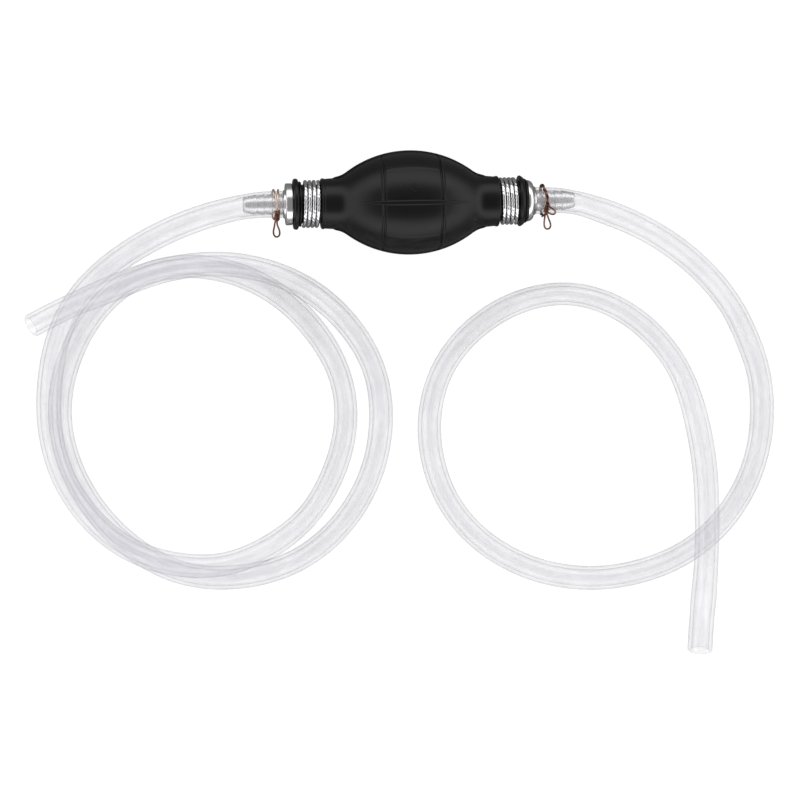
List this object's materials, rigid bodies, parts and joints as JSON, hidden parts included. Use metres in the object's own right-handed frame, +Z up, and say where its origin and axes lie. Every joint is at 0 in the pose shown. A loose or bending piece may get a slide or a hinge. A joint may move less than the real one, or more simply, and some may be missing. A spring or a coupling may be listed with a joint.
{
  "type": "hand siphon pump",
  "caption": "Squeeze-bulb hand siphon: a ribbed rubber bulb with a one-way valve in each neck, wire-bound barbed fittings and two clear hoses.",
  "frame": {"origin": "on the surface the pump lies on, under the middle of the bulb's axis", "axes": "+X along the pump's axis towards the inlet hose, +Y away from the side where the hoses are coiled, +Z up"},
  "size_m": [0.3655, 0.2497, 0.05],
  "materials": {
    "bulb_rubber": "satin",
    "wall_rubber": "satin",
    "ring_rubber": "satin",
    "seat_rubber": "satin",
    "fitting_metal": "machined",
    "retainer_metal": "machined",
    "binding_wire": "bright wire",
    "spring_steel": "bright wire",
    "ball_steel": "polished",
    "clip_wire": "copper-coloured wire",
    "clear_hose": "clear flexible vinyl"
  },
  "bodies": {
    "pump_body": {"rubber_bulb": "bulb_rubber", "inlet_fitting": "fitting_metal", "inlet_neck_ring": "ring_rubber", "inlet_wire_binding": "binding_wire", "inlet_valve_seat": "seat_rubber", "inlet_valve_spring": "spring_steel", "inlet_spring_retainer": "retainer_metal", "inlet_hose_clip": "clip_wire", "inlet_hose": "clear_hose", "outlet_fitting": "fitting_metal", "outlet_neck_ring": "ring_rubber", "outlet_wire_binding": "binding_wire", "outlet_valve_seat": "seat_rubber", "outlet_valve_spring": "spring_steel", "outlet_spring_retainer": "retainer_metal", "outlet_hose_clip": "clip_wire", "outlet_hose": "clear_hose"},
    "front_wall": {"squeeze_wall_front": "wall_rubber"},
    "back_wall": {"squeeze_wall_back": "wall_rubber"},
    "inlet_ball": {"inlet_valve_ball": "ball_steel"},
    "outlet_ball": {"outlet_valve_ball": "ball_steel"}
  },
  "joints": [
    {"name": "front_squeeze", "type": "slide", "parent": "pump_body", "child": "front_wall", "axis": [0, 1, 0], "range_m": [0, 0.012], "stiffness_N_per_m": 400},
    {"name": "back_squeeze", "type": "slide", "parent": "pump_body", "child": "back_wall", "axis": [0, -1, 0], "range_m": [0, 0.012], "stiffness_N_per_m": 400},
    {"name": "inlet_valve_lift", "type": "slide", "parent": "pump_body", "child": "inlet_ball", "axis": [-1, 0, 0], "range_m": [0, 0.002], "stiffness_N_per_m": 20, "deforming": ["inlet_valve_spring"]},
    {"name": "outlet_valve_lift", "type": "slide", "parent": "pump_body", "child": "outlet_ball", "axis": [-1, 0, 0], "range_m": [0, 0.002], "stiffness_N_per_m": 20, "deforming": ["outlet_valve_spring"]}
  ],
  "couplings": [
    {"joint": "back_squeeze", "follows": "front_squeeze", "ratio": 1}
  ]
}
